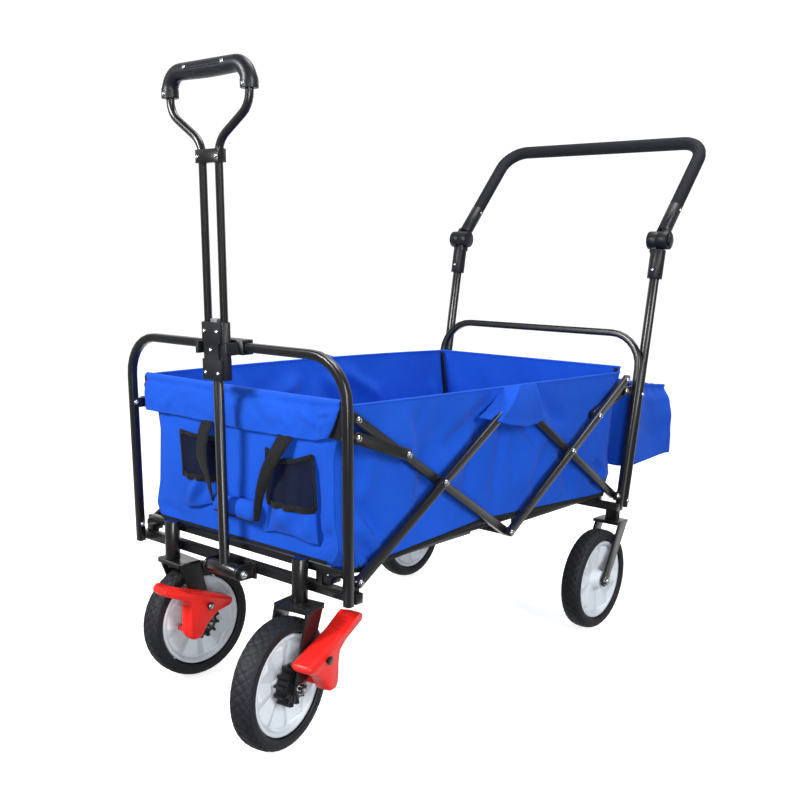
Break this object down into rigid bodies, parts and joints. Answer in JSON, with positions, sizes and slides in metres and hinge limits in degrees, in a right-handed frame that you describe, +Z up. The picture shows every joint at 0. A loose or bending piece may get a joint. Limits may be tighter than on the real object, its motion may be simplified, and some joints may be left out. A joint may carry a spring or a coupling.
{
  "type": "folding camp wagon",
  "caption": "Folding camp wagon: fabric tub in a scissor-folding steel frame on rubber-tyred wheels, with swivelling front casters, a telescopic pull handle and a tilting push handle.",
  "frame": {"origin": "middle of the wagon's footprint, on the ground, with the wagon open and both handles up", "axes": "+Z up, -Y towards the front with the pull handle, +X towards the right hand of someone standing in front of the wagon and facing it"},
  "size_m": [0.546, 1.2574, 0.9882],
  "materials": {
    "frame_steel": "black powder coat, semi-gloss",
    "tub_fabric": "blue woven polyester",
    "pocket_mesh": "black knitted mesh",
    "black_plastic": "fine-grained moulding",
    "foam": "closed-cell foam, matt",
    "tyre_rubber": "matt rubber",
    "rim_plastic": "pale grey moulding",
    "pedal_plastic": "red moulding",
    "button_plastic": "grey moulding"
  },
  "bodies": {
    "front_frame": {"front_hoop": "frame_steel", "front_cross_frame": "frame_steel", "handle_bracket": "frame_steel", "hoop_clip": "black_plastic", "tub_front": "tub_fabric", "pocket_left": "pocket_mesh", "pocket_right": "pocket_mesh", "carry_grip": "tub_fabric", "tub_left": "tub_fabric", "tub_right": "tub_fabric"},
    "bars_a": {"bar_a_left": "frame_steel", "bar_a_right": "frame_steel", "centre_tube": "frame_steel"},
    "bars_b": {"bar_b_left": "frame_steel", "bar_b_right": "frame_steel"},
    "bars_c": {"bar_c_left": "frame_steel", "bar_c_right": "frame_steel"},
    "bars_d": {"bar_d_left": "frame_steel", "bar_d_right": "frame_steel"},
    "front_links": {"front_link_left": "frame_steel", "front_link_right": "frame_steel"},
    "rear_links": {"rear_link_left": "frame_steel", "rear_link_right": "frame_steel"},
    "rear_frame": {"rear_hoop": "frame_steel", "rear_cross_frame": "frame_steel", "rear_fork_left": "frame_steel", "rear_fork_right": "frame_steel", "push_leg_left": "frame_steel", "push_leg_right": "frame_steel", "socket_left": "black_plastic", "socket_right": "black_plastic", "rear_bag": "tub_fabric", "tub_rear": "tub_fabric"},
    "floor_front_half": {"floor_front": "black_plastic", "floor_rails_front": "frame_steel"},
    "floor_rear_half": {"floor_rear": "black_plastic", "floor_rails_rear": "frame_steel"},
    "caster_left": {"caster_fork_left": "frame_steel"},
    "caster_right": {"caster_fork_right": "frame_steel"},
    "brake_left": {"pedal_left": "pedal_plastic"},
    "brake_right": {"pedal_right": "pedal_plastic"},
    "wheel_front_left": {"rim_front_left": "rim_plastic", "tyre_front_left": "tyre_rubber"},
    "wheel_front_right": {"rim_front_right": "rim_plastic", "tyre_front_right": "tyre_rubber"},
    "wheel_rear_left": {"rim_rear_left": "rim_plastic", "tyre_rear_left": "tyre_rubber"},
    "wheel_rear_right": {"rim_rear_right": "rim_plastic", "tyre_rear_right": "tyre_rubber"},
    "handle_lower": {"pull_tube": "frame_steel", "handle_housing": "black_plastic"},
    "handle_upper": {"loop_frame": "frame_steel", "grip": "black_plastic"},
    "handle_button": {"release_button": "button_plastic"},
    "push_handle": {"knuckle_left": "black_plastic", "knuckle_right": "black_plastic", "push_bar": "frame_steel", "foam_grip": "foam"},
    "push_catch_left": {"push_button_left": "black_plastic"},
    "push_catch_right": {"push_button_right": "black_plastic"}
  },
  "joints": [
    {"name": "fold", "type": "hinge", "parent": "front_frame", "child": "bars_b", "pos_m": [0, -0.45517, 0.258], "axis": [1, 0, 0], "range_deg": [0, 41], "deforming": ["tub_left", "tub_right"]},
    {"name": "front_crossing", "type": "hinge", "parent": "bars_b", "child": "bars_a", "pos_m": [0, -0.25802, 0.37646], "axis": [1, 0, 0], "range_deg": [-82.5, 0.5]},
    {"name": "centre_pivot", "type": "hinge", "parent": "bars_a", "child": "bars_c", "pos_m": [0, -0.06087, 0.258], "axis": [1, 0, 0], "range_deg": [-0.5, 82.5]},
    {"name": "rear_crossing", "type": "hinge", "parent": "bars_c", "child": "bars_d", "pos_m": [0, 0.13628, 0.37646], "axis": [1, 0, 0], "range_deg": [-82.5, 0.5]},
    {"name": "rear_pivot", "type": "hinge", "parent": "bars_d", "child": "rear_frame", "pos_m": [0, 0.33343, 0.258], "axis": [1, 0, 0], "range_deg": [-0.5, 41.5]},
    {"name": "front_link_pivot", "type": "hinge", "parent": "front_frame", "child": "front_links", "pos_m": [0, -0.46637, 0.4715], "axis": [1, 0, 0], "range_deg": [-0.5, 85.5]},
    {"name": "rear_link_pivot", "type": "hinge", "parent": "rear_frame", "child": "rear_links", "pos_m": [0, 0.34463, 0.4715], "axis": [1, 0, 0], "range_deg": [-85.5, 0.5]},
    {"name": "front_floor_hinge", "type": "hinge", "parent": "front_frame", "child": "floor_front_half", "pos_m": [0, -0.44087, 0.264], "axis": [1, 0, 0], "range_deg": [-0.5, 70.8]},
    {"name": "rear_floor_hinge", "type": "hinge", "parent": "rear_frame", "child": "floor_rear_half", "pos_m": [0, 0.31913, 0.264], "axis": [1, 0, 0], "range_deg": [-70.8, 0.5]},
    {"name": "caster_swivel_left", "type": "hinge", "parent": "front_frame", "child": "caster_left", "pos_m": [-0.151, -0.48287, 0.216], "axis": [0, 0, 1], "continuous": true},
    {"name": "caster_swivel_right", "type": "hinge", "parent": "front_frame", "child": "caster_right", "pos_m": [0.151, -0.48287, 0.216], "axis": [0, 0, 1], "continuous": true},
    {"name": "axle_front_left", "type": "hinge", "parent": "caster_left", "child": "wheel_front_left", "pos_m": [-0.14787, -0.43698, 0.1], "axis": [0.9977, -0.068, 0], "continuous": true},
    {"name": "axle_front_right", "type": "hinge", "parent": "caster_right", "child": "wheel_front_right", "pos_m": [0.15804, -0.52833, 0.1], "axis": [0.9882, 0.153, 0], "continuous": true},
    {"name": "axle_rear_left", "type": "hinge", "parent": "rear_frame", "child": "wheel_rear_left", "pos_m": [-0.24, 0.26113, 0.1], "axis": [1, 0, 0], "continuous": true},
    {"name": "axle_rear_right", "type": "hinge", "parent": "rear_frame", "child": "wheel_rear_right", "pos_m": [0.24, 0.26113, 0.1], "axis": [1, 0, 0], "continuous": true},
    {"name": "brake_left", "type": "hinge", "parent": "caster_left", "child": "brake_left", "pos_m": [-0.14937, -0.45893, 0.145], "axis": [0.9977, -0.068, 0], "range_deg": [0, 6]},
    {"name": "brake_right", "type": "hinge", "parent": "caster_right", "child": "brake_right", "pos_m": [0.15467, -0.50659, 0.145], "axis": [-0.9882, -0.153, 0], "range_deg": [0, 6]},
    {"name": "pull_handle_tilt", "type": "hinge", "parent": "front_frame", "child": "handle_lower", "pos_m": [0, -0.49837, 0.235], "axis": [1, 0, 0], "range_deg": [0, 100]},
    {"name": "pull_handle_slide", "type": "slide", "parent": "handle_lower", "child": "handle_upper", "axis": [0, 0.0349, -0.9994], "range_m": [0, 0.22]},
    {"name": "release_button", "type": "slide", "parent": "handle_lower", "child": "handle_button", "axis": [0, 0.0349, -0.9994], "range_m": [0, 0.003], "stiffness_N_per_m": 400},
    {"name": "push_handle_tilt", "type": "hinge", "parent": "rear_frame", "child": "push_handle", "pos_m": [0, 0.43232, 0.768], "axis": [-1, 0, 0], "range_deg": [-131, 67]},
    {"name": "push_button_left", "type": "slide", "parent": "push_handle", "child": "push_catch_left", "axis": [1, 0, 0], "range_m": [0, 0.003], "stiffness_N_per_m": 400},
    {"name": "push_button_right", "type": "slide", "parent": "push_handle", "child": "push_catch_right", "axis": [-1, 0, 0], "range_m": [0, 0.003], "stiffness_N_per_m": 400}
  ],
  "couplings": [
    {"joint": "front_crossing", "follows": "fold", "ratio": -2},
    {"joint": "centre_pivot", "follows": "fold", "ratio": 2},
    {"joint": "rear_crossing", "follows": "fold", "ratio": -2},
    {"joint": "rear_pivot", "follows": "fold", "ratio": 1},
    {"joint": "front_link_pivot", "follows": "fold", "ratio": 2.0724},
    {"joint": "rear_link_pivot", "follows": "fold", "ratio": -2.0724},
    {"joint": "front_floor_hinge", "follows": "fold", "ratio": 1.7156},
    {"joint": "rear_floor_hinge", "follows": "fold", "ratio": -1.7156}
  ]
}
